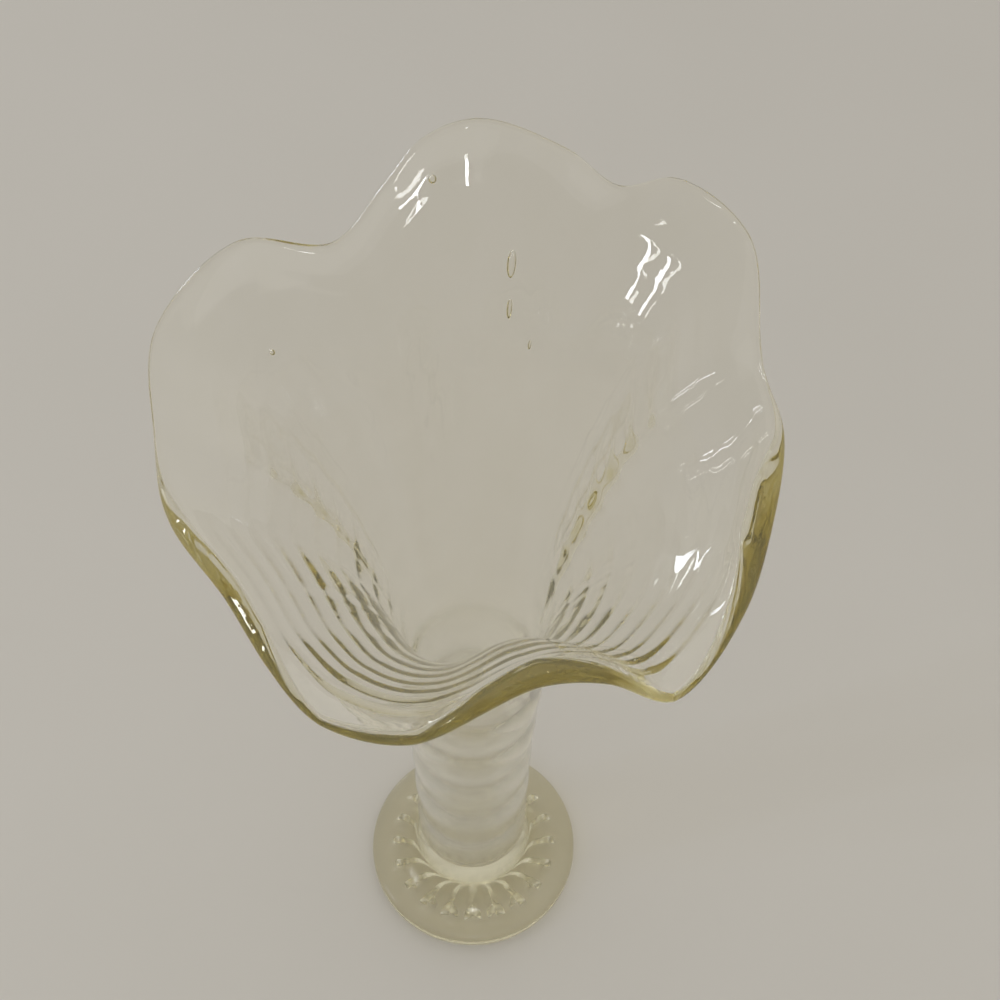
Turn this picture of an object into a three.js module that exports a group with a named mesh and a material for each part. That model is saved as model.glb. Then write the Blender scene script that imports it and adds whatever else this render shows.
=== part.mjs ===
// A swung glass vase: a pressed foot with a star beneath, a ringed stem, a trumpet bowl
// that keeps the rings, and a ruffled, fire-polished rim.
// Millimetres, +Z up. The origin is the middle of the foot's resting plane, and the vase's front faces -Y.
import * as THREE from 'three';

// Foot: a round, thick-edged disc that sweeps up into the stem.
const FOOT_DIAMETER = 85;
const FOOT_EDGE_HEIGHT = 8;
const FOOT_EDGE_ROUND = 3;
const FOOT_HEIGHT = 36;
const FOOT_SWEEP = 16;
const BORE_FLOOR = 22;

// Star pressed into the underside of the foot: shallow V-shaped rays run out from a flat button, and each
// ends in a deeper notch that comes to a point.
const STAR_RAYS = 20;
const STAR_BUTTON_RADIUS = 6;
const STAR_RAY_DEPTH = 0.4;
const STAR_NOTCH_DEPTH = 1.5;
const STAR_NOTCH_HALF = 5;
const STAR_BORDER = 8;

// Stem: a drawn-out tube that rises straight from the foot and widens towards the throat.
const STEM_LENGTH = 140;
const STEM_RADIUS = 21;
const THROAT_RADIUS = 24.4;
const THROAT_TILT = 4.5;
const STEM_WALL = 5;

// Lean: how far the mouth's middle stands to the right of the foot's, as the swinging left it.
const LEAN = 4;

// Bowl: it leaves the throat along the stem and rolls out to the mean line of the rim.
const BOWL_HEIGHT = 136.5;
const RIM_RADIUS = 79.5;
const THROAT_REACH = 62;
const RIM_ROLL = 32;
const BOWL_WALL = 4.5;

// Lip: the thickened edge, whose flat end has melted corners.
const LIP_WALL = 6;
const LIP_DEPTH = 7;
const LIP_ROUND = 1.6;

// Horizontal rings left by the mould: convex bands that meet in narrow hollows. The swinging stretched them
// apart in the stem, and from the throat to the rim each one is narrower than the last by the same ratio.
const STEM_RINGS = 5;
const STEM_RING_RISE = 0.4;
const BOWL_RINGS = 11;
const BOWL_RING_RISE = 0.22;
const RING_CROWDING = 0.885;

// Ruffle of the rim, as it runs round the mouth from the back lobe: the azimuth in degrees, how far the edge
// stands out from the mean radius and up from the mean height, in shares of the two sizes here, and how many
// degrees from upright the wall flares. The side lobes roll over and the front lobes stand up, with a fold
// between them.
const RUFFLE_DEPTH = 10;
const RUFFLE_RISE = 10;
const RUFFLE = [
  { at: 89, out: 0.36, up: 1.7, flare: 52 },
  { at: 71, out: -0.2, up: 1.5, flare: 52 },
  { at: 59, out: -0.49, up: 1.1, flare: 54 },
  { at: 49, out: 0.18, up: 1.6, flare: 60 },
  { at: 31, out: 0.22, up: 1.5, flare: 66 },
  { at: 8, out: -0.7, up: 0.4, flare: 72 },
  { at: -4, out: -0.13, up: -0.3, flare: 62 },
  { at: -21, out: 0.02, up: -0.55, flare: 46 },
  { at: -40, out: 0.46, up: -0.8, flare: 46 },
  { at: -58, out: 0.76, up: -1.05, flare: 48 },
  { at: -66, out: -0.06, up: -0.7, flare: 44 },
  { at: -77, out: -0.4, up: -0.6, flare: 42 },
  { at: -98, out: 0.49, up: -1.3, flare: 46 },
  { at: -113, out: 0.53, up: -1.4, flare: 46 },
  { at: -126, out: 0.04, up: -1.2, flare: 44 },
  { at: -140, out: -0.39, up: -0.9, flare: 44 },
  { at: -158, out: -0.12, up: -0.5, flare: 56 },
  { at: -174, out: -0.22, up: -0.4, flare: 74 },
  { at: -198, out: 0.52, up: -0.2, flare: 76 },
  { at: -221, out: 0.29, up: 0, flare: 68 },
  { at: -236, out: -1.14, up: -0.3, flare: 54 },
  { at: -251, out: -0.54, up: 0.6, flare: 52 },
  { at: -260, out: 0.06, up: 1.4, flare: 52 },
];

// Fineness of the facets.
const MERIDIANS = 60;
const RING_STEPS = 4;
const STEPS_PER_RAY = 4;
const FOOT_SWEEP_STEPS = 8;
const FOOT_RING_STEPS = 4;
const EDGE_STEPS = 1;
const FLOOR_STEPS = 4;
const LIP_CORNER_STEPS = 1;
const BORE_STEPS = 6;
const BOWL_INSIDE_STEPS = 12;

const footRadius = FOOT_DIAMETER / 2;
const throatHeight = FOOT_HEIGHT + STEM_LENGTH;
const rimHeight = throatHeight + BOWL_HEIGHT;
const boreRadius = STEM_RADIUS - STEM_WALL;
const turn = 2 * Math.PI;
const radians = THREE.MathUtils.degToRad;

const clearGlass = () => new THREE.MeshStandardMaterial({
  color: 0xcfcbb4,
  roughness: 0.05,
  metalness: 0,
  transparent: true,
  opacity: 0.4,
});

// A point of the wall: the radius and height on a meridian at the given azimuth. The foot is upright, and
// above it the middle of the vase moves steadily to the right.
function onMeridian(azimuth, radius, height) {
  const aside = LEAN * Math.max(0, height - FOOT_HEIGHT) / (rimHeight - FOOT_HEIGHT);
  return new THREE.Vector3(aside + radius * Math.cos(azimuth), radius * Math.sin(azimuth), height);
}

function levelRing(around, radius, height) {
  return around.map((azimuth) => onMeridian(azimuth, radius, height));
}

// Joins neighbouring rings of points into one closed skin. The rings run from the inside of the resting
// face, or from the outside of a wall, so that the faces point out. Each end is closed by a point on the
// axis, or, where there are none, the last ring is joined to the first.
function closedSkin(rings, startPole, endPole) {
  const count = rings[0].length;
  const points = rings.flat();
  const triangles = [];
  const join = (lower, upper) => {
    for (let i = 0; i < count; i += 1) {
      const next = (i + 1) % count;
      const [a, b] = [lower * count + i, lower * count + next];
      const [c, d] = [upper * count + next, upper * count + i];
      if (points[a].distanceTo(points[c]) < points[b].distanceTo(points[d])) {
        triangles.push(a, b, c, a, c, d);
      } else {
        triangles.push(a, b, d, b, c, d);
      }
    }
  };
  for (let k = 0; k + 1 < rings.length; k += 1) {
    join(k, k + 1);
  }
  if (startPole && endPole) {
    const last = (rings.length - 1) * count;
    const start = points.push(startPole) - 1;
    const end = points.push(endPole) - 1;
    for (let i = 0; i < count; i += 1) {
      const next = (i + 1) % count;
      triangles.push(start, next, i);
      triangles.push(end, last + i, last + next);
    }
  } else {
    join(rings.length - 1, 0);
  }
  const geometry = new THREE.BufferGeometry().setFromPoints(points);
  geometry.setIndex(triangles);
  geometry.computeVertexNormals();
  return geometry;
}

function piece(name, geometry) {
  const mesh = new THREE.Mesh(geometry, clearGlass());
  mesh.name = name;
  return mesh;
}

// Height of a ring's band at a step between two hollows.
function swell(step, steps, rise) {
  return rise * Math.abs(Math.sin(Math.PI * step / steps));
}

// The edge of the mouth as one smooth closed curve round its own middle, and the meridians that it is
// sampled on.
const rimLine = new THREE.CatmullRomCurve3(
  RUFFLE.map(({ at, out, up }) => new THREE.Vector3(
    (RIM_RADIUS + RUFFLE_DEPTH * out) * Math.cos(radians(at)),
    (RIM_RADIUS + RUFFLE_DEPTH * out) * Math.sin(radians(at)),
    rimHeight + RUFFLE_RISE * up,
  )),
  true,
);
const rimPoints = rimLine.getSpacedPoints(MERIDIANS).slice(0, MERIDIANS).reverse();
const azimuths = rimPoints.map((point) => Math.atan2(point.y, point.x));

// Outer line of the stem, as radius and height.
const throatLean = radians(THROAT_TILT);
const stemLine = new THREE.CubicBezierCurve(
  new THREE.Vector2(STEM_RADIUS, FOOT_HEIGHT),
  new THREE.Vector2(STEM_RADIUS, FOOT_HEIGHT + STEM_LENGTH / 3),
  new THREE.Vector2(THROAT_RADIUS - STEM_LENGTH / 3 * Math.tan(throatLean), throatHeight - STEM_LENGTH / 3),
  new THREE.Vector2(THROAT_RADIUS, throatHeight),
);

// Flare of the wall at an azimuth, in radians, between the knots on either side.
function flareAt(azimuth) {
  const fullTurn = 360;
  const turned = (at) => THREE.MathUtils.euclideanModulo(RUFFLE[0].at - at, fullTurn);
  const here = turned(THREE.MathUtils.radToDeg(azimuth));
  const found = RUFFLE.findIndex(({ at }) => turned(at) > here);
  const next = found < 0 ? RUFFLE.length : found;
  const before = RUFFLE[next - 1];
  const after = RUFFLE[next % RUFFLE.length];
  const span = (turned(after.at) || fullTurn) - turned(before.at);
  return radians(THREE.MathUtils.lerp(before.flare, after.flare, (here - turned(before.at)) / span));
}

// Outer lines of the bowl, one on each meridian: they leave the throat along the stem and flare to the rim.
const bowlLines = rimPoints.map((point, i) => {
  const radius = Math.hypot(point.x, point.y);
  const flare = flareAt(azimuths[i]);
  return new THREE.CubicBezierCurve(
    new THREE.Vector2(THROAT_RADIUS, throatHeight),
    new THREE.Vector2(
      THROAT_RADIUS + THROAT_REACH * Math.sin(throatLean),
      throatHeight + THROAT_REACH * Math.cos(throatLean),
    ),
    new THREE.Vector2(radius - RIM_ROLL, point.z - RIM_ROLL / Math.tan(flare)),
    new THREE.Vector2(radius, point.z),
  );
});

// A point at a share of the outer line's length and a given depth inside the wall, square to that line. A
// negative depth lies on a swell.
function insideWall(line, along, depth) {
  const point = line.getPointAt(along);
  const tangent = line.getTangentAt(along);
  return new THREE.Vector2(point.x - tangent.y * depth, point.y + tangent.x * depth);
}

function stemRing(along, depth) {
  const { x, y } = insideWall(stemLine, along, depth);
  return levelRing(azimuths, x, y);
}

function bowlRing(along, depth) {
  return bowlLines.map((line, i) => {
    const { x, y } = insideWall(line, along, depth);
    return onMeridian(azimuths[i], x, y);
  });
}

// The share of a flare's line at which the lip begins.
const meanFlare = bowlLines.reduce((sum, line) => sum + line.getLength(), 0) / bowlLines.length;
const lipStart = 1 - LIP_DEPTH / meanFlare;

// The share at which a ring of the bowl begins, counted up from the throat.
function ringStart(ring) {
  return lipStart * (1 - RING_CROWDING ** ring) / (1 - RING_CROWDING ** BOWL_RINGS);
}

// The wall thins from the stem to the bowl's edge.
function bowlWall(along) {
  return THREE.MathUtils.lerp(STEM_WALL, BOWL_WALL, THREE.MathUtils.smoothstep(along, 0, lipStart));
}

// The foot: underside with its star, rounded edge, swept top with the lowest ring, and the bore's floor.
function foot() {
  const starRadius = footRadius - STAR_BORDER;
  const spokes = Array.from({ length: STAR_RAYS * STEPS_PER_RAY }, (_, i) => (
    turn * i / (STAR_RAYS * STEPS_PER_RAY)
  ));
  const starRing = (radius, depth) => spokes.map((azimuth, i) => (
    onMeridian(azimuth, radius, i % STEPS_PER_RAY === 0 ? depth : 0)
  ));
  const rings = [
    starRing(STAR_BUTTON_RADIUS, 0),
    starRing(starRadius - 2 * STAR_NOTCH_HALF, STAR_RAY_DEPTH),
    starRing(starRadius - STAR_NOTCH_HALF, STAR_NOTCH_DEPTH),
    starRing(starRadius, 0),
  ];
  const edge = new THREE.Path();
  const roundMiddle = footRadius - FOOT_EDGE_ROUND;
  edge.absarc(roundMiddle, FOOT_EDGE_ROUND, FOOT_EDGE_ROUND, -Math.PI / 2, 0);
  edge.absarc(roundMiddle, FOOT_EDGE_HEIGHT - FOOT_EDGE_ROUND, FOOT_EDGE_ROUND, 0, Math.PI / 2);
  edge.getPoints(EDGE_STEPS).forEach(({ x, y }) => rings.push(levelRing(spokes, x, y)));
  const sweep = new THREE.CubicBezierCurve(
    new THREE.Vector2(roundMiddle, FOOT_EDGE_HEIGHT),
    new THREE.Vector2(roundMiddle - FOOT_SWEEP, FOOT_EDGE_HEIGHT),
    new THREE.Vector2(STEM_RADIUS, FOOT_HEIGHT - FOOT_SWEEP),
    new THREE.Vector2(STEM_RADIUS, FOOT_HEIGHT),
  );
  const plainSteps = FOOT_SWEEP_STEPS - FOOT_RING_STEPS;
  for (let k = 1; k <= FOOT_SWEEP_STEPS; k += 1) {
    const rise = k > plainSteps ? swell(k - plainSteps, FOOT_RING_STEPS, STEM_RING_RISE) : 0;
    const { x, y } = insideWall(sweep, k / FOOT_SWEEP_STEPS, -rise);
    rings.push(levelRing(spokes, x, y));
  }
  const floorRound = FOOT_HEIGHT - BORE_FLOOR;
  for (let k = 0; k < FLOOR_STEPS; k += 1) {
    const angle = Math.PI / 2 * k / FLOOR_STEPS;
    rings.push(levelRing(spokes, boreRadius * Math.cos(angle), FOOT_HEIGHT - floorRound * Math.sin(angle)));
  }
  return closedSkin(rings, new THREE.Vector3(0, 0, 0), new THREE.Vector3(0, 0, BORE_FLOOR));
}

// The stem: a ringed outside and a plain bore.
function stem() {
  const rings = [];
  const steps = STEM_RINGS * RING_STEPS;
  for (let k = 0; k <= steps; k += 1) {
    rings.push(stemRing(k / steps, -swell(k, RING_STEPS, STEM_RING_RISE)));
  }
  for (let k = BORE_STEPS; k >= 1; k -= 1) {
    rings.push(stemRing(k / BORE_STEPS, STEM_WALL));
  }
  rings.push(levelRing(azimuths, boreRadius, FOOT_HEIGHT));
  return closedSkin(rings);
}

// The bowl: the rings run on up its outside and follow the ruffle more and more towards the rim.
function bowl() {
  const rings = [];
  for (let ring = 0; ring < BOWL_RINGS; ring += 1) {
    for (let k = 0; k < RING_STEPS; k += 1) {
      const along = THREE.MathUtils.lerp(ringStart(ring), ringStart(ring + 1), k / RING_STEPS);
      rings.push(bowlRing(along, -swell(k, RING_STEPS, BOWL_RING_RISE)));
    }
  }
  rings.push(bowlRing(lipStart, 0));
  for (let k = BOWL_INSIDE_STEPS; k >= 1; k -= 1) {
    const along = lipStart * k / BOWL_INSIDE_STEPS;
    rings.push(bowlRing(along, bowlWall(along)));
  }
  rings.push(stemRing(1, STEM_WALL));
  return closedSkin(rings);
}

// The lip: it seats on the bowl's edge, thickens inwards and ends in a flat with two melted corners.
function lip() {
  const section = new THREE.Path();
  section.absarc(LIP_ROUND, 0, LIP_ROUND, Math.PI, Math.PI / 2, true);
  section.absarc(LIP_WALL - LIP_ROUND, 0, LIP_ROUND, Math.PI / 2, 0, true);
  const rings = [bowlRing(lipStart, 0)];
  section.getPoints(LIP_CORNER_STEPS).forEach(({ x: depth, y: reach }) => {
    rings.push(bowlLines.map((line, i) => {
      const { x, y } = insideWall(line, 1, depth);
      const tangent = line.getTangentAt(1);
      return onMeridian(azimuths[i], x + tangent.x * reach, y + tangent.y * reach);
    }));
  });
  rings.push(bowlRing(lipStart, bowlWall(lipStart)));
  return closedSkin(rings);
}

const vase = new THREE.Group();
vase.add(
  piece('star_foot', foot()),
  piece('ringed_stem', stem()),
  piece('ruffled_bowl', bowl()),
  piece('fire_polished_lip', lip()),
);

export default vase;
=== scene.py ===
"""Looks of a swung glass vase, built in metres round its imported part: +Z up, front towards -Y.

The vase is one piece of glass, so one mesh stands for the foot, the stem, the bowl and the lip. It is made
as the real one is: a ringed blank is spun, a star is pressed under its foot, and its upper part is swung out
and ruffled.
"""

import logging
import math
from dataclasses import dataclass, field
from enum import Enum

import bmesh
import bpy
import numpy as np
from mathutils import Matrix, Vector, noise


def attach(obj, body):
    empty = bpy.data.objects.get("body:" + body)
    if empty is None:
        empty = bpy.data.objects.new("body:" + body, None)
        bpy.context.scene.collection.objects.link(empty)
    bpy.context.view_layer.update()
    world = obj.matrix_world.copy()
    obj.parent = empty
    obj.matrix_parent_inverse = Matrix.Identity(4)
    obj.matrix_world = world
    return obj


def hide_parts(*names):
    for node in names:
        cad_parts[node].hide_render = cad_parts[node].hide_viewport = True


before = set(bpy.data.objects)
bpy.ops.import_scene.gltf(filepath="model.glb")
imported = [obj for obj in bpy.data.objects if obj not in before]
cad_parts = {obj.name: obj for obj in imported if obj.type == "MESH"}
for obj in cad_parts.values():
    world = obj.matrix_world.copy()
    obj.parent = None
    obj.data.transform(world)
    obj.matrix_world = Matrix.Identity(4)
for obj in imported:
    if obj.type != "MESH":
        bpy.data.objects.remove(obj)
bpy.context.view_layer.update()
LOG = logging.getLogger("swung_vase")
MM = 0.001
TURN = 2 * math.pi
HOLLOW_SOFTNESS = 0.2
MERGE_GAP = 0.001 * MM
LENGTH_SAMPLES = 129

Profile = list[tuple[float, float]]


class VaseNode(Enum):
    """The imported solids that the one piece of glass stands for."""

    FOOT = "star_foot"
    STEM = "ringed_stem"
    BOWL = "ruffled_bowl"
    LIP = "fire_polished_lip"


def linear(hex_colour: str) -> tuple[float, float, float, float]:
    """Turns an sRGB hex colour into linear light.

    Args:
        hex_colour: Six hex digits, such as "e8e4da".

    Returns:
        The linear red, green, blue and an alpha of 1.
    """
    channels = [int(hex_colour[i:i + 2], 16) / 255 for i in (0, 2, 4)]
    lit = [c / 12.92 if c <= 0.04045 else ((c + 0.055) / 1.055) ** 2.4 for c in channels]
    return (lit[0], lit[1], lit[2], 1.0)


def add_node(
    tree: bpy.types.NodeTree, kind: str, feeds: dict | None = None, **settings: object,
) -> bpy.types.Node:
    """Adds a node to a tree, with its settings, its constant inputs and its links.

    Args:
        tree: The node tree.
        kind: Blender's name of the node type.
        feeds: For each input, by name or number, a constant or the output socket that feeds it.
        settings: The node's own properties.

    Returns:
        The new node.
    """
    node = tree.nodes.new(kind)
    for name, value in settings.items():
        setattr(node, name, value)
    for name, value in (feeds or {}).items():
        if isinstance(value, bpy.types.NodeSocket):
            tree.links.new(value, node.inputs[name])
        else:
            node.inputs[name].default_value = value
    return node


def cubic(controls: np.ndarray, at: np.ndarray) -> tuple[np.ndarray, np.ndarray]:
    """Walks cubic curves in radius and height.

    Args:
        controls: Four control points for each place, with the pairs in the last axis.
        at: The curve parameters, from 0 to 1.

    Returns:
        The points and the unit tangents there.
    """
    first, lead, trail, last = controls
    here = at[:, None]
    left = 1 - here
    points = left ** 3 * first + 3 * left ** 2 * here * lead
    points += 3 * left * here ** 2 * trail + here ** 3 * last
    slopes = left ** 2 * (lead - first) + 2 * left * here * (trail - lead) + here ** 2 * (last - trail)
    return points, slopes / np.linalg.norm(slopes, axis=1, keepdims=True)


def by_length(controls: np.ndarray, shares: np.ndarray) -> tuple[np.ndarray, float]:
    """Finds where given shares of a cubic curve's length lie.

    Args:
        controls: The curve's four control points.
        shares: The shares, from 0 to 1.

    Returns:
        The curve parameters, and the curve's length.
    """
    at = np.linspace(0, 1, LENGTH_SAMPLES)
    points, _ = cubic(controls[:, None], at)
    walked = np.concatenate(([0.0], np.cumsum(np.linalg.norm(np.diff(points, axis=0), axis=1))))
    return np.interp(shares, walked / walked[-1], at), float(walked[-1])


def inside_wall(controls: np.ndarray, share: float, depth: float) -> tuple[float, float]:
    """Finds a point at a share of an outer line's length and a depth inside the wall, square to the line.

    Args:
        controls: The outer line's four control points, as radius and height.
        share: The share of its length.
        depth: The depth; a negative one lies on a swell.

    Returns:
        The radius and the height.
    """
    at, _ = by_length(controls, np.array([share]))
    point, tangent = cubic(controls[:, None], at)
    return float(point[0, 0] - tangent[0, 1] * depth), float(point[0, 1] + tangent[0, 0] * depth)


def swell(share: float, rise: float) -> float:
    """Height of a mould ring at a share of the way from one narrow hollow to the next."""
    return rise * (math.hypot(math.sin(math.pi * share), HOLLOW_SOFTNESS) - HOLLOW_SOFTNESS)


@dataclass(frozen=True)
class PressedFoot:
    """The round foot: its star, its rounded edge, its sweep into the stem and the floor of the bore."""

    radius: float = 42.5 * MM
    edge_height: float = 8 * MM
    edge_round: float = 3 * MM
    height: float = 36 * MM
    sweep: float = 16 * MM
    bore_floor: float = 22 * MM
    stem_radius: float = 21 * MM
    ring_rise: float = 0.8 * MM
    ring_share: float = 0.44
    star_rays: int = 20
    star_depth: float = 3.6 * MM
    ray_depth: float = 1.2 * MM
    star_border: float = 7 * MM
    star_button: float = 6 * MM
    star_tip: float = 5 * MM
    star_width: float = 0.36
    star_rows: int = 5
    edge_rows: int = 6
    sweep_rows: int = 20
    floor_rows: int = 12
    flat_below: float = 1e-7

    def star_stations(self) -> tuple[float, float, float, float]:
        """Radii at which a ray of the star begins, steepens, is deepest and ends.

        Returns:
            The four radii.
        """
        end = self.radius - self.star_border
        return self.star_button, end - 2 * self.star_tip, end - self.star_tip, end

    def underside(self) -> Profile:
        """Lists the resting face from the axis to its rounded edge.

        Returns:
            Its radii and heights.
        """
        stations = [0.0, *self.star_stations(), self.radius - self.edge_round]
        line = [(stations[0], 0.0)]
        for near, far in zip(stations, stations[1:]):
            line += [(near + (far - near) * k / self.star_rows, 0.0) for k in range(1, self.star_rows + 1)]
        return line

    def outside(self) -> Profile:
        """Lists the rounded edge and the sweep up to the stem, with the lowest mould ring.

        Returns:
            Their radii and heights.
        """
        middle = self.radius - self.edge_round
        line = []
        for low, start in ((self.edge_round, -math.pi / 2), (self.edge_height - self.edge_round, 0.0)):
            for k in range(1, self.edge_rows + 1):
                angle = start + math.pi / 2 * k / self.edge_rows
                across, up = math.cos(angle), math.sin(angle)
                line.append((middle + self.edge_round * across, low + self.edge_round * up))
        controls = np.array([
            (middle, self.edge_height),
            (middle - self.sweep, self.edge_height),
            (self.stem_radius, self.height - self.sweep),
            (self.stem_radius, self.height),
        ])
        for k in range(1, self.sweep_rows + 1):
            share = k / self.sweep_rows
            ring = max(0.0, (share - 1 + self.ring_share) / self.ring_share)
            line.append(inside_wall(controls, share, -swell(ring, self.ring_rise)))
        return line

    def floor(self, bore_radius: float) -> Profile:
        """Lists the bore's rounded floor from the stem down to the axis.

        Args:
            bore_radius: The radius of the bore above it.

        Returns:
            Its radii and heights.
        """
        deep = self.height - self.bore_floor
        angles = [math.pi / 2 * k / self.floor_rows for k in range(self.floor_rows)]
        line = [(bore_radius * math.cos(angle), self.height - deep * math.sin(angle)) for angle in angles]
        return line + [(0.0, self.bore_floor)]

    def press_star(self, points: np.ndarray) -> np.ndarray:
        """Presses pointed V-shaped rays into the resting face.

        Args:
            points: The blank's vertices.

        Returns:
            How far each vertex moves up.
        """
        reach = np.hypot(points[:, 0], points[:, 1])
        pitch = TURN / self.star_rays
        aside = np.abs((np.arctan2(points[:, 1], points[:, 0]) + pitch / 2) % pitch - pitch / 2)
        deep = np.interp(reach, self.star_stations(), (0.0, self.ray_depth, self.star_depth, 0.0))
        groove = np.clip(1 - aside / (pitch * self.star_width), 0, 1)
        return np.where(points[:, 2] < self.flat_below, deep * groove, 0.0)


@dataclass(frozen=True)
class DrawnStem:
    """The drawn-out stem: rings on its outside and a plain bore."""

    foot_height: float = 36 * MM
    length: float = 140 * MM
    radius: float = 21 * MM
    throat_radius: float = 24.4 * MM
    throat_tilt: float = math.radians(4.5)
    wall: float = 5 * MM
    rings: int = 5
    ring_rise: float = 0.8 * MM
    rows_per_ring: int = 8
    bore_rows: int = 14

    @property
    def throat_height(self) -> float:
        """Height at which the stem ends and the bowl begins."""
        return self.foot_height + self.length

    def line(self) -> np.ndarray:
        """Works out the stem's outer line.

        Returns:
            Its four control points, as radius and height.
        """
        third = self.length / 3
        return np.array([
            (self.radius, self.foot_height),
            (self.radius, self.foot_height + third),
            (self.throat_radius - third * math.tan(self.throat_tilt), self.throat_height - third),
            (self.throat_radius, self.throat_height),
        ])

    def outside(self) -> Profile:
        """Lists the ringed outside from above the foot to below the throat.

        Returns:
            Its radii and heights.
        """
        rows = self.rings * self.rows_per_ring
        return [
            inside_wall(self.line(), k / rows, -swell(k / self.rows_per_ring, self.ring_rise))
            for k in range(1, rows)
        ]

    def bore(self) -> Profile:
        """Lists the bore from below the throat down to above the foot."""
        shares = [k / self.bore_rows for k in range(self.bore_rows - 1, 0, -1)]
        return [inside_wall(self.line(), share, self.wall) for share in shares]


@dataclass(frozen=True)
class Ruffle:
    """The ruffled edge.

    A knot holds its azimuth, its millimetres out and up from the mean rim, and the wall's flare in
    degrees. A curl holds an azimuth, the degrees that the edge rolls over there, and the lip's thickness
    in millimetres.
    """

    radius: float = 79.5 * MM
    knots: tuple[tuple[float, float, float, float], ...] = (
        (89, 3.6, 17, 52), (71, -2, 15, 52), (59, -4.9, 11, 54), (49, 1.8, 16, 60), (31, 2.2, 15, 66),
        (8, -7, 4, 72), (-4, -1.3, -3, 62), (-21, 0.2, -5.5, 46), (-40, 4.6, -8, 46),
        (-58, 7.6, -10.5, 48), (-66, -0.6, -7, 44), (-77, -4, -6, 42), (-98, 4.9, -13, 46),
        (-113, 5.3, -14, 46), (-126, 0.4, -12, 44), (-140, -3.9, -9, 44), (-158, -1.2, -5, 56),
        (-174, -2.2, -4, 74), (-198, 5.2, -2, 76), (-221, 2.9, 0, 68), (-236, -11.4, -3, 54),
        (-251, -5.4, 6, 52), (-260, 0.6, 14, 52),
    )
    curls: tuple[tuple[float, float, float], ...] = (
        (100, 0, 4.2), (40, 3, 4), (10, 0, 4.5), (-2, -20, 7), (-12, -36, 8), (-26, -36, 8),
        (-46, 12, 5), (-58, 32, 3.4), (-67, 6, 5.6), (-77, -10, 6.8), (-88, -6, 6.4), (-98, 24, 4),
        (-113, 32, 3.4), (-122, 16, 4.6), (-130, 0, 6), (-142, 2, 6), (-158, -6, 6.4), (-172, 6, 4.5),
        (-200, 6, 4), (-240, 0, 4.2),
    )
    steps: int = 24

    def around(self, azimuths: np.ndarray) -> tuple[np.ndarray, np.ndarray, np.ndarray]:
        """Walks the edge as one smooth closed curve through its knots.

        Args:
            azimuths: Where the edge is wanted, in radians.

        Returns:
            The radius there, the height over the mean rim, and the wall's flare in radians.
        """
        at, out, up, flare = np.array(self.knots).T
        turned = np.radians(at)
        reach = self.radius + out * MM
        here = np.stack([reach * np.cos(turned), reach * np.sin(turned), up * MM], axis=1)
        before, after = np.roll(here, 1, axis=0), np.roll(here, -1, axis=0)
        beyond = np.roll(here, -2, axis=0)
        gap0, gap1, gap2 = (
            np.sqrt(np.linalg.norm(b - a, axis=1, keepdims=True))
            for a, b in ((before, here), (here, after), (after, beyond))
        )
        leave = ((here - before) / gap0 - (after - before) / (gap0 + gap1)) * gap1 + (after - here)
        arrive = ((beyond - after) / gap2 - (beyond - here) / (gap1 + gap2)) * gap1 + (after - here)
        step = np.linspace(0, 1, self.steps, endpoint=False)[None, :, None]
        here, after, leave, arrive = (a[:, None] for a in (here, after, leave, arrive))
        bend = 3 * (after - here) - 2 * leave - arrive
        turn_back = leave + arrive - 2 * (after - here)
        edge = (here + leave * step + bend * step ** 2 + turn_back * step ** 3).reshape(-1, 3)
        edge_azimuth = np.arctan2(edge[:, 1], edge[:, 0])
        radius = self._read(azimuths, edge_azimuth, np.hypot(edge[:, 0], edge[:, 1]))
        height = self._read(azimuths, edge_azimuth, edge[:, 2])
        return radius, height, self._read(azimuths, turned, np.radians(flare))

    def edge(self, azimuths: np.ndarray) -> tuple[np.ndarray, np.ndarray]:
        """Finds how the edge rolls over.

        Args:
            azimuths: Where that is wanted, in radians.

        Returns:
            The curl there, in radians, and the lip's thickness.
        """
        at, curl, thick = np.array(self.curls).T
        turned = np.radians(at)
        return self._read(azimuths, turned, np.radians(curl)), self._read(azimuths, turned, thick * MM)

    @staticmethod
    def _read(azimuths: np.ndarray, known: np.ndarray, values: np.ndarray) -> np.ndarray:
        """Reads values that are known at some azimuths at others, round the whole turn."""
        order = np.argsort(known)
        return np.interp(azimuths, known[order], values[order], period=TURN)


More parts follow.
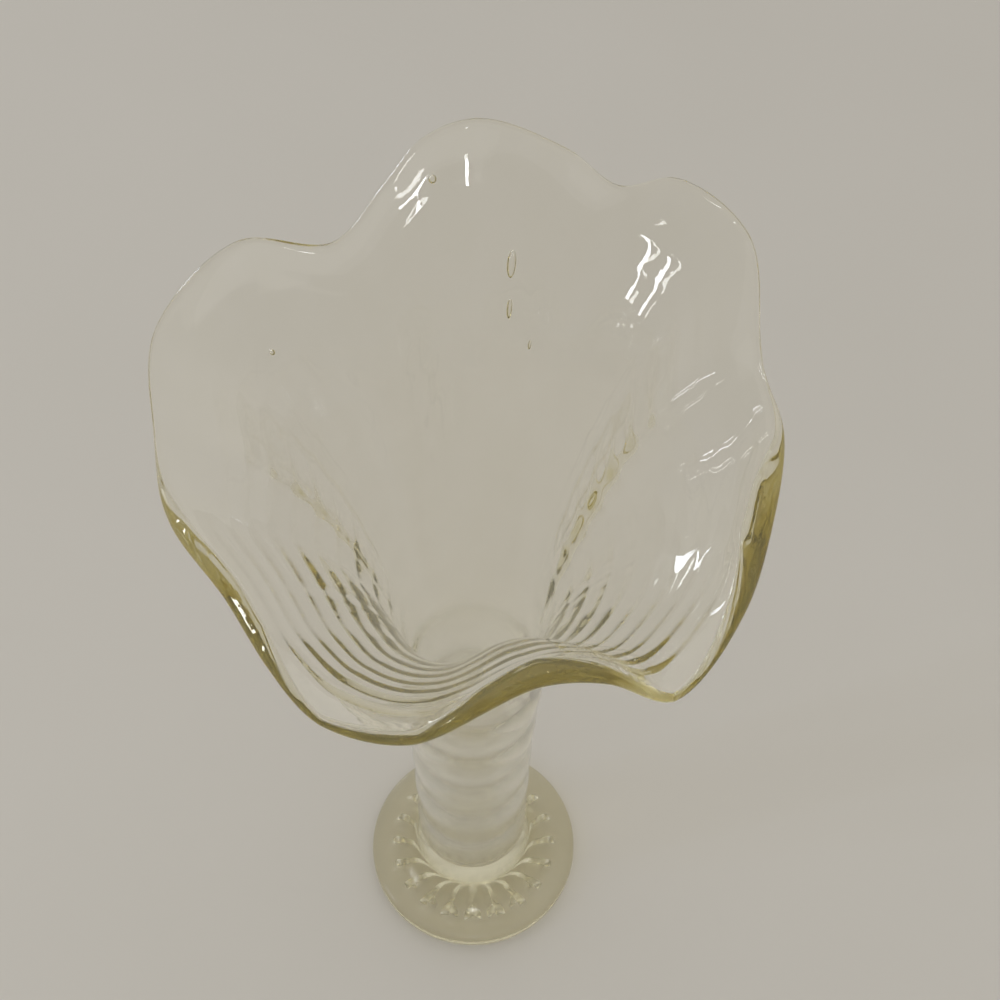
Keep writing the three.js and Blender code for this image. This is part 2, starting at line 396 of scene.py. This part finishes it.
@dataclass(frozen=True)
class SwungBowl:
    """The trumpet bowl and its fire-polished lip: first a straight tube, then swung out along the flare."""

    stem: DrawnStem = field(default_factory=DrawnStem)
    ruffle: Ruffle = field(default_factory=Ruffle)
    height: float = 136.5 * MM
    throat_reach: float = 62 * MM
    rim_roll: float = 32 * MM
    lean: float = 4 * MM
    wall: float = 4.5 * MM
    lip_wall: float = 6 * MM
    lip_depth: float = 7 * MM
    lip_round: float = 2.6 * MM
    lip_squareness: float = 2.3
    swollen: float = 26 * MM
    rings: int = 11
    throat_ring_rise: float = 0.05 * MM
    rim_ring_rise: float = 0.23 * MM
    ring_crowding: float = 0.885
    inner_ripple: float = 0.5
    rows_per_ring: int = 9
    lip_rows: int = 16
    lip_inner_rows: int = 4
    blank_height: float = 155 * MM
    curl_length: float = 22 * MM
    wave_depth: float = 0.12 * MM
    wave_length: float = 20 * MM
    wave_fade: float = 6.0
    slope_step: float = 0.01

    @property
    def rim_height(self) -> float:
        """Mean height of the rim."""
        return self.stem.throat_height + self.height

    @property
    def lip_start(self) -> float:
        """Share of the flare's length at which the lip begins."""
        return 1 - self.lip_depth / self.blank_height

    def ring_start(self, ring: int) -> float:
        """Share of the flare at which a ring begins, counted up from the throat."""
        return self.lip_start * (1 - self.ring_crowding ** ring) / (1 - self.ring_crowding ** self.rings)

    def wall_at(self, share: float) -> float:
        """Thickness of the wall, which thins from the stem to the rim and swells again at the lip.

        Args:
            share: The share of the flare's length.

        Returns:
            The thickness there.
        """
        thinned = min(1.0, share / self.lip_start)
        ease = thinned * thinned * (3 - 2 * thinned)
        swollen = max(0.0, 1 - (1 - share) * self.blank_height / self.swollen)
        base = self.stem.wall + (self.wall - self.stem.wall) * ease
        return base + (self.lip_wall - self.wall) * swollen * swollen

    def blank(self, share: float, depth: float, beyond: float = 0.0) -> tuple[float, float]:
        """Radius and height of a point of the straight tube that is swung out later."""
        return self.stem.throat_radius - depth, self.stem.throat_height + share * self.blank_height + beyond

    def swells(self) -> Profile:
        """Lists the rings, which swell more and more from the throat to the lip.

        Returns:
            Shares of the flare, and the swell's heights there.
        """
        line = []
        gain = self.rim_ring_rise - self.throat_ring_rise
        for ring in range(self.rings):
            low, high = self.ring_start(ring), self.ring_start(ring + 1)
            for k in range(self.rows_per_ring):
                share = k / self.rows_per_ring
                along = low + (high - low) * share
                rise = self.throat_ring_rise + gain * along
                line.append((along, swell(share, rise)))
        return line + [(self.lip_start, 0.0)]

    def outside(self) -> Profile:
        """Lists the ringed outside of the tube from the throat to the lip's end."""
        line = [self.blank(share, -rise) for share, rise in self.swells()]
        return line + [self.blank((1 + self.lip_start) / 2, 0.0)]

    def lip(self) -> Profile:
        """Lists the lip's end, which the fire melted to a flattened round, from the outside to the inside.

        Returns:
            Its radii and heights.
        """
        line = []
        for k in range(self.lip_rows + 1):
            angle = math.pi * k / self.lip_rows
            across = math.copysign(abs(math.cos(angle)) ** (2 / self.lip_squareness), math.cos(angle))
            beyond = self.lip_round * math.sin(angle) ** (2 / self.lip_squareness)
            line.append(self.blank(1.0, self.lip_wall / 2 * (1 - across), beyond))
        return line

    def inside(self) -> Profile:
        """Lists the inside of the tube from the lip to the throat, where the rings show as faint ripples.

        Returns:
            Its radii and heights.
        """
        near_lip = [
            1 - (1 - self.lip_start) * k / self.lip_inner_rows for k in range(1, self.lip_inner_rows)
        ]
        line = [self.blank(share, self.wall_at(share)) for share in near_lip]
        for share, rise in reversed(self.swells()):
            line.append(self.blank(share, self.wall_at(share) - self.inner_ripple * rise))
        return line

    def flares(self, azimuths: np.ndarray) -> np.ndarray:
        """Works out the outer lines of the bowl, which flare wider where the ruffle stands out.

        Args:
            azimuths: One azimuth for each line, in radians.

        Returns:
            Four control points for each line, as radius and height.
        """
        radius, rise, flare = self.ruffle.around(azimuths)
        top = self.rim_height + rise
        even = np.ones_like(radius)
        tilt = self.stem.throat_tilt
        return np.array([
            np.stack([self.stem.throat_radius * even, self.stem.throat_height * even], axis=1),
            np.stack([
                (self.stem.throat_radius + self.throat_reach * math.sin(tilt)) * even,
                (self.stem.throat_height + self.throat_reach * math.cos(tilt)) * even,
            ], axis=1),
            np.stack([radius - self.rim_roll, top - self.rim_roll / np.tan(flare)], axis=1),
            np.stack([radius, top], axis=1),
        ])

    def waver(
        self, azimuth: np.ndarray, spot: np.ndarray, share: np.ndarray, inner: np.ndarray,
    ) -> np.ndarray:
        """Works out the slight waves that the swinging leaves in both faces of the wall.

        Args:
            azimuth: The azimuths of the wall's points.
            spot: Their radius and height on the outer line.
            share: Their shares of the flare.
            inner: Which of them lie on the inner face.

        Returns:
            How much deeper each point lies.
        """
        fade = np.clip(self.wave_fade * share * (1 - share), 0, 1) * self.wave_depth
        places = np.stack([
            spot[:, 0] * np.cos(azimuth),
            spot[:, 0] * np.sin(azimuth),
            spot[:, 1] + np.where(inner, 1.0, 0.0),
        ], axis=1) / self.wave_length
        waves = np.array([noise.noise(Vector(place)) for place in places])
        return fade * waves

    def roll_edge(
        self, azimuth: np.ndarray, share: np.ndarray, spot: np.ndarray, tangent: np.ndarray,
        depth: np.ndarray,
    ) -> tuple[np.ndarray, np.ndarray, np.ndarray]:
        """Rolls the edge over and makes it thinner or thicker, with its tip left in place.

        Args:
            azimuth: The azimuths of the wall's points.
            share: Their shares of the flare.
            spot: Their radius and height on the outer line.
            tangent: The line's unit tangents there.
            depth: How deep they lie under the line.

        Returns:
            The new places on the outer line, tangents and depths.
        """
        curl, thick = self.ruffle.edge(azimuth)
        from_tip = (1 - share) * self.blank_height
        near = np.clip(1 - from_tip / self.curl_length, 0, 1)
        swollen = np.clip(1 - from_tip / self.swollen, 0, 1)
        bend = curl * near ** 2
        aside = curl * self.curl_length / 3 * (near ** 3 - share ** 6)
        out = np.stack([tangent[:, 1], -tangent[:, 0]], axis=1)
        turned = tangent * np.cos(bend)[:, None] + out * np.sin(bend)[:, None]
        scale = 1 + (thick / self.lip_wall - 1) * swollen ** 2
        return spot + out * aside[:, None], turned, depth * scale

    def seat(self, azimuth: float, share: float, depth: float) -> Matrix:
        """Finds a place inside the wall.

        Args:
            azimuth: Its azimuth, in radians.
            share: Its share of the flare's length.
            depth: How deep it lies under the outer face.

        Returns:
            The place, with X running round the bowl, Y into it and Z up along the wall.
        """
        controls = self.flares(np.array([azimuth]))[:, 0]
        radius, height = inside_wall(controls, share, depth)
        near_radius, near_height = inside_wall(controls, share - self.slope_step, depth)
        slope = Vector((radius - near_radius, height - near_height)).normalized()
        ahead, aside = (math.cos(azimuth), math.sin(azimuth)), (-math.sin(azimuth), math.cos(azimuth))
        leaned = self.lean * (height - self.stem.foot_height) / (self.rim_height - self.stem.foot_height)
        return Matrix((
            (aside[0], -slope.y * ahead[0], slope.x * ahead[0], radius * ahead[0] + leaned),
            (aside[1], -slope.y * ahead[1], slope.x * ahead[1], radius * ahead[1]),
            (0.0, slope.x, slope.y, height),
            (0.0, 0.0, 0.0, 1.0),
        ))

    def swing(self, points: np.ndarray, columns: int) -> np.ndarray:
        """Swings the straight tube out along the flare, ruffles its edge and lets the vase lean.

        Args:
            points: The blank's vertices.
            columns: How many meridians the blank was spun with.

        Returns:
            The vase's vertices.
        """
        azimuth = np.arctan2(points[:, 1], points[:, 0])
        column = np.rint(azimuth / TURN * columns).astype(int) % columns
        controls = self.flares(np.arange(columns) * TURN / columns)
        height = points[:, 2] - self.stem.throat_height
        share = np.clip(height / self.blank_height, 0, 1)
        depth = self.stem.throat_radius - np.hypot(points[:, 0], points[:, 1])
        beyond = np.clip(height - self.blank_height, 0, None)
        at = np.zeros(len(points))
        swung = points[:, 2] >= self.stem.throat_height - 1e-9
        for k in range(columns):
            mine = swung & (column == k)
            at[mine], _ = by_length(controls[:, k], share[mine])
        spot, tangent = cubic(controls[:, column], at)
        depth = depth + self.waver(azimuth, spot, share, depth > self.wall / 2)
        spot, tangent, depth = self.roll_edge(azimuth, share, spot, tangent, depth)
        radius = spot[:, 0] - tangent[:, 1] * depth + tangent[:, 0] * beyond
        top = spot[:, 1] + tangent[:, 0] * depth + tangent[:, 1] * beyond
        moved = np.stack([radius * np.cos(azimuth), radius * np.sin(azimuth), top], axis=1)
        shaped = np.where(swung[:, None], moved, points)
        above = np.clip(shaped[:, 2] - self.stem.foot_height, 0, None)
        shaped[:, 0] += self.lean * above / (self.rim_height - self.stem.foot_height)
        return shaped


@dataclass(frozen=True)
class FirePolishedGlass:
    """Pressed soda-lime glass, swung and fire-polished: clear, faintly straw-tinted, olive where deep."""

    ior: float = 1.52
    roughness: float = 0.02
    tint_low: str = "fbfaf4"
    tint_high: str = "fffefb"
    absorbed: tuple[float, float, float, float] = (0.75, 0.68, 0.18, 1.0)
    density: float = 8.5
    shadow: str = "e8e5dc"
    cord_width: float = 9 * MM
    cord_stretch: float = 0.25
    cord_depth: float = 0.05 * MM
    chilled_roughness: float = 0.14
    grain_size: float = 4 * MM
    grain_depth: float = 0.05 * MM
    haze: float = 0.26
    foot_haze: float = 0.3
    hazed_below: float = 120 * MM
    clear_above: float = 200 * MM
    bore_within: float = 17.5 * MM
    skin_beyond: float = 19.5 * MM
    # The foot's deeper tint: painted shade that darkens the foot.
    foot_shade_tint: str = "efede4"
    foot_below: float = 14 * MM
    stem_above: float = 30 * MM
    chilled_below: float = 80 * MM
    polished_above: float = 200 * MM

    def material(self) -> bpy.types.Material:
        """Makes the glass, whose faint cords and uneven polish follow the way it was drawn.

        Returns:
            The material.
        """
        made = bpy.data.materials.new("fire_polished_soda_lime_glass")
        made.use_nodes = True
        tree = made.node_tree
        tree.nodes.clear()
        place = add_node(tree, "ShaderNodeTexCoord")
        drawn = add_node(tree, "ShaderNodeMapping", {
            "Vector": place.outputs["Object"],
            "Scale": (1.0, 1.0, self.cord_stretch),
        })
        # Cords, the faint streaks of drawn glass, show as a slight unevenness of the reflections.
        cords = add_node(tree, "ShaderNodeTexNoise", {
            "Vector": drawn.outputs["Vector"],
            "Scale": 1 / self.cord_width,
            "Detail": 3.0,
        })
        bump = add_node(tree, "ShaderNodeBump", {
            "Height": cords.outputs["Fac"],
            "Distance": self.cord_depth,
            "Strength": 1.0,
        })
        tint = add_node(tree, "ShaderNodeValToRGB", {"Fac": cords.outputs["Fac"]})
        tint.color_ramp.elements[0].color = linear(self.tint_low)
        tint.color_ramp.elements[1].color = linear(self.tint_high)
        # The foot's glass is tinted deeper than the rest, fading out up the stem: this is painted shade,
        # which darkens the foot as if less light reached it under the bowl.
        height = add_node(tree, "ShaderNodeSeparateXYZ", {"Vector": place.outputs["Object"]})
        thick = add_node(tree, "ShaderNodeMapRange", {
            "Value": height.outputs["Z"],
            "From Min": self.foot_below,
            "From Max": self.stem_above,
            "To Min": 1.0,
            "To Max": 0.0,
        })
        tint_and_shade = add_node(tree, "ShaderNodeMixRGB", {
            "Fac": thick.outputs["Result"],
            "Color1": tint.outputs["Color"],
            "Color2": linear(self.foot_shade_tint),
        }, blend_type="MULTIPLY")
        polish = add_node(tree, "ShaderNodeMapRange", {
            "Value": cords.outputs["Fac"],
            "To Min": 0.0,
            "To Max": self.roughness,
        })
        # The mould chills the skin of the foot and the stem, so they are milky and grainy beside the bowl.
        chill = add_node(tree, "ShaderNodeMapRange", {
            "Value": height.outputs["Z"],
            "From Min": self.chilled_below,
            "From Max": self.polished_above,
            "To Min": 1.0,
            "To Max": 0.0,
        })
        skin = add_node(tree, "ShaderNodeMath", {
            0: chill.outputs["Result"],
            1: self.chilled_roughness,
            2: polish.outputs["Result"],
        }, operation="MULTIPLY_ADD")
        grain = add_node(tree, "ShaderNodeTexNoise", {
            "Vector": place.outputs["Object"],
            "Scale": 1 / self.grain_size,
        })
        pressed = add_node(tree, "ShaderNodeBump", {
            "Height": grain.outputs["Fac"],
            "Distance": self.grain_depth,
            "Strength": chill.outputs["Result"],
            "Normal": bump.outputs["Normal"],
        })
        # Wear leaves a thin haze on the stem's outside, and less on the foot; the bore stays clear.
        flat = add_node(tree, "ShaderNodeCombineXYZ", {
            "X": height.outputs["X"],
            "Y": height.outputs["Y"],
        })
        reach = add_node(tree, "ShaderNodeVectorMath", {0: flat.outputs["Vector"]}, operation="LENGTH")
        outer = add_node(tree, "ShaderNodeMapRange", {
            "Value": reach.outputs["Value"],
            "From Min": self.bore_within,
            "From Max": self.skin_beyond,
        })
        veil = add_node(tree, "ShaderNodeMapRange", {
            "Value": height.outputs["Z"],
            "From Min": self.hazed_below,
            "From Max": self.clear_above,
            "To Min": -self.haze,
            "To Max": 0.0,
        })
        worn = add_node(tree, "ShaderNodeMapRange", {
            "Value": thick.outputs["Result"],
            "To Min": 1.0,
            "To Max": self.foot_haze,
        })
        cloud = add_node(tree, "ShaderNodeMath", {
            0: veil.outputs["Result"],
            1: worn.outputs["Result"],
        }, operation="MULTIPLY")
        clarity = add_node(tree, "ShaderNodeMath", {
            0: cloud.outputs["Value"],
            1: outer.outputs["Result"],
            2: 1.0,
        }, operation="MULTIPLY_ADD")
        glass = add_node(tree, "ShaderNodeBsdfPrincipled", {
            "Base Color": tint_and_shade.outputs["Color"],
            "Roughness": skin.outputs["Value"],
            "IOR": self.ior,
            "Transmission Weight": clarity.outputs["Value"],
            "Normal": pressed.outputs["Normal"],
        })
        # Lamps shine through the thin wall, so the vase casts the pale shadow of clear glass.
        clear = add_node(tree, "ShaderNodeBsdfTransparent", {"Color": linear(self.shadow)})
        rays = add_node(tree, "ShaderNodeLightPath")
        surface = add_node(tree, "ShaderNodeMixShader", {
            0: rays.outputs["Is Shadow Ray"],
            1: glass.outputs["BSDF"],
            2: clear.outputs["BSDF"],
        })
        # Iron in the glass takes the blue and some red, so long ways through it come out olive.
        depth = add_node(tree, "ShaderNodeVolumeAbsorption", {
            "Color": self.absorbed,
            "Density": self.density,
        })
        add_node(tree, "ShaderNodeOutputMaterial", {
            "Surface": surface.outputs["Shader"],
            "Volume": depth.outputs["Volume"],
        })
        return made


@dataclass(frozen=True)
class Seed:
    """A bubble drawn out in the bowl's wall: where it lies, in degrees and shares, and its size."""

    azimuth: float
    share: float
    length: float
    width: float
    thickness: float = 1.4 * MM
    roundness: int = 3

    def build(self, shape: bmesh.types.BMesh, bowl: SwungBowl) -> None:
        """Hollows the bubble out of the middle of the wall.

        Args:
            shape: The vase's mesh.
            bowl: The bowl whose wall holds the bubble.
        """
        middle = bowl.seat(math.radians(self.azimuth), self.share, bowl.wall_at(self.share) / 2)
        size = Matrix.Diagonal((self.width / 2, self.thickness / 2, self.length / 2, 1.0))
        made = bmesh.ops.create_icosphere(
            shape, subdivisions=self.roundness, radius=1.0, matrix=middle @ size,
        )
        faces = {face for vert in made["verts"] for face in vert.link_faces}
        bmesh.ops.reverse_faces(shape, faces=list(faces))


@dataclass
class SwungVase:
    """The whole vase as one piece of glass."""

    foot: PressedFoot = field(default_factory=PressedFoot)
    stem: DrawnStem = field(default_factory=DrawnStem)
    bowl: SwungBowl = field(default_factory=SwungBowl)
    glass: FirePolishedGlass = field(default_factory=FirePolishedGlass)
    seeds: tuple[Seed, ...] = (
        Seed(79, 0.805, 8 * MM, 2.6 * MM),
        Seed(78, 0.73, 6 * MM, 1.6 * MM),
        Seed(69, 0.69, 3 * MM, 1.0 * MM, 0.8 * MM),
        Seed(99, 0.945, 2.4 * MM, 2.2 * MM),
        Seed(151, 0.835, 1.8 * MM, 1.6 * MM),
    )
    columns: int = 280
    sharp: float = math.radians(30)

    def profile(self) -> Profile:
        """Lists the blank's section from under the foot, up the outside, over the lip and down the bore.

        Returns:
            Its radii and heights.
        """
        bore_radius = self.stem.radius - self.stem.wall
        rising = self.foot.underside() + self.foot.outside() + self.stem.outside() + self.bowl.outside()
        falling = self.bowl.inside() + self.stem.bore() + self.foot.floor(bore_radius)
        return rising + self.bowl.lip() + falling

    def build(self) -> bpy.types.Object:
        """Spins the blank, presses the star, swings the bowl and closes the mesh.

        Returns:
            The vase.
        """
        shape = bmesh.new()
        section = [shape.verts.new((radius, 0.0, height)) for radius, height in self.profile()]
        edges = [shape.edges.new(pair) for pair in zip(section, section[1:])]
        bmesh.ops.spin(
            shape, geom=section + edges, cent=(0, 0, 0), axis=(0, 0, 1), dvec=(0, 0, 0),
            angle=TURN, steps=self.columns, use_merge=True, use_duplicate=False,
        )
        bmesh.ops.remove_doubles(shape, verts=shape.verts, dist=MERGE_GAP)
        bmesh.ops.recalc_face_normals(shape, faces=shape.faces)
        mesh = bpy.data.meshes.new("swung_glass")
        shape.to_mesh(mesh)
        shape.free()
        points = np.empty(len(mesh.vertices) * 3)
        mesh.vertices.foreach_get("co", points)
        points = points.reshape(-1, 3)
        lifted = self.foot.press_star(points)
        points = self.bowl.swing(points, self.columns)
        points[:, 2] += lifted
        mesh.vertices.foreach_set("co", points.ravel())
        shape = bmesh.new()
        shape.from_mesh(mesh)
        for seed in self.seeds:
            seed.build(shape, self.bowl)
        shape.to_mesh(mesh)
        shape.free()
        mesh.shade_smooth()
        mesh.set_sharp_from_angle(angle=self.sharp)
        vase = bpy.data.objects.new("swung_glass", mesh)
        bpy.context.scene.collection.objects.link(vase)
        return vase

    def dress(self, vase: bpy.types.Object) -> None:
        """Gives the vase its glass and its place in the frame.

        Args:
            vase: The built vase.
        """
        vase.data.materials.append(self.glass.material())
        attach(vase, "root")
        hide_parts(*(node.value for node in VaseNode))


@dataclass(frozen=True)
class PaleFloor:
    """The plain pale floor: matt, faintly uneven paint."""

    half_side: float = 3.0
    light_tone: str = "d8d4cc"
    dark_tone: str = "d3cfc6"
    patch: float = 180 * MM
    roughness: float = 0.85
    gap: float = 0.2 * MM

    def build(self) -> bpy.types.Object:
        """Lays the floor under the foot.

        Returns:
            The floor.
        """
        shape = bmesh.new()
        bmesh.ops.create_grid(shape, x_segments=1, y_segments=1, size=self.half_side)
        mesh = bpy.data.meshes.new("pale_floor")
        shape.to_mesh(mesh)
        shape.free()
        mesh.transform(Matrix.Translation((0.0, 0.0, -self.gap)))
        floor = bpy.data.objects.new("pale_floor", mesh)
        bpy.context.scene.collection.objects.link(floor)
        made = bpy.data.materials.new("matt_pale_paint")
        made.use_nodes = True
        tree = made.node_tree
        tree.nodes.clear()
        place = add_node(tree, "ShaderNodeTexCoord")
        # Matt paint scatters the light, so the floor shows soft shadows, faint brush clouds and no shine.
        clouds = add_node(tree, "ShaderNodeTexNoise", {
            "Vector": place.outputs["Object"],
            "Scale": 1 / self.patch,
        })
        tone = add_node(tree, "ShaderNodeValToRGB", {"Fac": clouds.outputs["Fac"]})
        tone.color_ramp.elements[0].color = linear(self.dark_tone)
        tone.color_ramp.elements[1].color = linear(self.light_tone)
        paint = add_node(tree, "ShaderNodeBsdfPrincipled", {
            "Base Color": tone.outputs["Color"],
            "Roughness": self.roughness,
        })
        add_node(tree, "ShaderNodeOutputMaterial", {"Surface": paint.outputs["BSDF"]})
        mesh.materials.append(made)
        return floor


@dataclass(frozen=True)
class SoftLamp:
    """A soft rectangular studio lamp, which the glass also mirrors."""

    name: str
    place: tuple[float, float, float]
    aim: tuple[float, float, float]
    width: float
    height: float
    power: float
    colour: str = "ffffff"

    def build(self) -> bpy.types.Object:
        """Hangs the lamp and turns it to what it lights.

        Returns:
            The lamp.
        """
        light = bpy.data.lights.new(self.name, "AREA")
        light.shape = "RECTANGLE"
        light.size = self.width
        light.size_y = self.height
        light.energy = self.power
        light.color = linear(self.colour)[:3]
        lamp = bpy.data.objects.new(self.name, light)
        lamp.location = self.place
        lamp.visible_camera = False
        ahead = Vector(self.aim) - Vector(self.place)
        lamp.rotation_euler = ahead.to_track_quat("-Z", "Y").to_euler()
        bpy.context.scene.collection.objects.link(lamp)
        return lamp


@dataclass(frozen=True)
class Studio:
    """Plain soft light: a pale room that is brighter overhead and behind, and a few soft lamps."""

    low_tone: str = "d2cfca"
    high_tone: str = "dddbd8"
    strength: float = 0.68
    back_strength: float = 1.2
    low_end: float = -0.1
    high_end: float = 0.9
    bounces: int = 96
    lamps: tuple[SoftLamp, ...] = (
        SoftLamp("ceiling_softbox", (0.15, -0.5, 2.2), (0.0, -0.1, 0.1), 2.4, 2.0, 5.0),
        SoftLamp("left_window", (-1.35, -0.39, 0.95), (0.0, 0.0, 0.3), 0.035, 0.7, 1.5, "f4f8ff"),
        SoftLamp("left_strip", (-1.39, -0.22, 0.8), (0.0, 0.0, 0.3), 0.025, 0.6, 0.9, "f4f8ff"),
        SoftLamp("front_window", (0.0, -1.0, 1.33), (0.0, 0.0, 0.3), 0.06, 0.22, 1.0, "f4f8ff"),
        SoftLamp("back_window", (-0.79, 1.09, 0.13), (0.0, 0.0, 0.3), 0.14, 0.08, 0.6, "e6efff"),
    )

    def build(self) -> None:
        """Sets the room's light and hangs the lamps."""
        room = bpy.data.worlds.new("pale_room")
        bpy.context.scene.world = room
        room.use_nodes = True
        tree = room.node_tree
        tree.nodes.clear()
        place = add_node(tree, "ShaderNodeTexCoord")
        split = add_node(tree, "ShaderNodeSeparateXYZ", {"Vector": place.outputs["Generated"]})
        shade = add_node(tree, "ShaderNodeMapRange", {
            "Value": split.outputs["Z"],
            "From Min": self.low_end,
            "From Max": self.high_end,
        })
        tone = add_node(tree, "ShaderNodeValToRGB", {"Fac": shade.outputs["Result"]})
        tone.color_ramp.elements[0].color = linear(self.low_tone)
        tone.color_ramp.elements[1].color = linear(self.high_tone)
        reach = add_node(tree, "ShaderNodeMapRange", {
            "Value": split.outputs["Y"],
            "From Min": 0.0,
            "From Max": self.high_end,
            "To Min": self.strength,
            "To Max": self.back_strength,
        })
        glow = add_node(tree, "ShaderNodeBackground", {
            "Color": tone.outputs["Color"],
            "Strength": reach.outputs["Result"],
        })
        add_node(tree, "ShaderNodeOutputWorld", {"Surface": glow.outputs["Background"]})
        for lamp in self.lamps:
            lamp.build()
            LOG.info("lamp %s", lamp.name)
        bpy.context.scene.view_settings.view_transform = "Standard"
        # Light runs far along the inside of a glass wall, so its paths are followed for many bounces.
        paths = bpy.context.scene.cycles
        paths.max_bounces = self.bounces
        paths.glossy_bounces = self.bounces
        paths.transmission_bounces = self.bounces
        paths.transparent_max_bounces = self.bounces


@dataclass(frozen=True)
class PhotoCamera:
    """The camera at the photograph's angle: above the mouth, looking down into it."""

    place: tuple[float, float, float] = (11.3 * MM, -224.4 * MM, 617.4 * MM)
    elevation: float = math.radians(57)
    lens: float = 54.0
    sensor: float = 36.0
    nearest: float = 10 * MM

    def build(self) -> bpy.types.Object:
        """Sets the camera up and makes it the scene's.

        Returns:
            The camera.
        """
        view = bpy.data.cameras.new("photo_camera")
        view.lens = self.lens
        view.sensor_width = self.sensor
        view.clip_start = self.nearest
        camera = bpy.data.objects.new("photo_camera", view)
        camera.location = self.place
        camera.rotation_euler = (math.pi / 2 - self.elevation, 0.0, 0.0)
        bpy.context.scene.collection.objects.link(camera)
        bpy.context.scene.camera = camera
        return camera


def main() -> None:
    """Builds the vase, the floor, the light and the camera."""
    logging.basicConfig(level=logging.INFO, format="%(message)s")
    vase = SwungVase()
    glass = vase.build()
    vase.dress(glass)
    LOG.info("piece %s: %d faces", glass.name, len(glass.data.polygons))
    floor = PaleFloor().build()
    LOG.info("stage %s", floor.name)
    Studio().build()
    PhotoCamera().build()


if __name__ == "__main__":
    main()
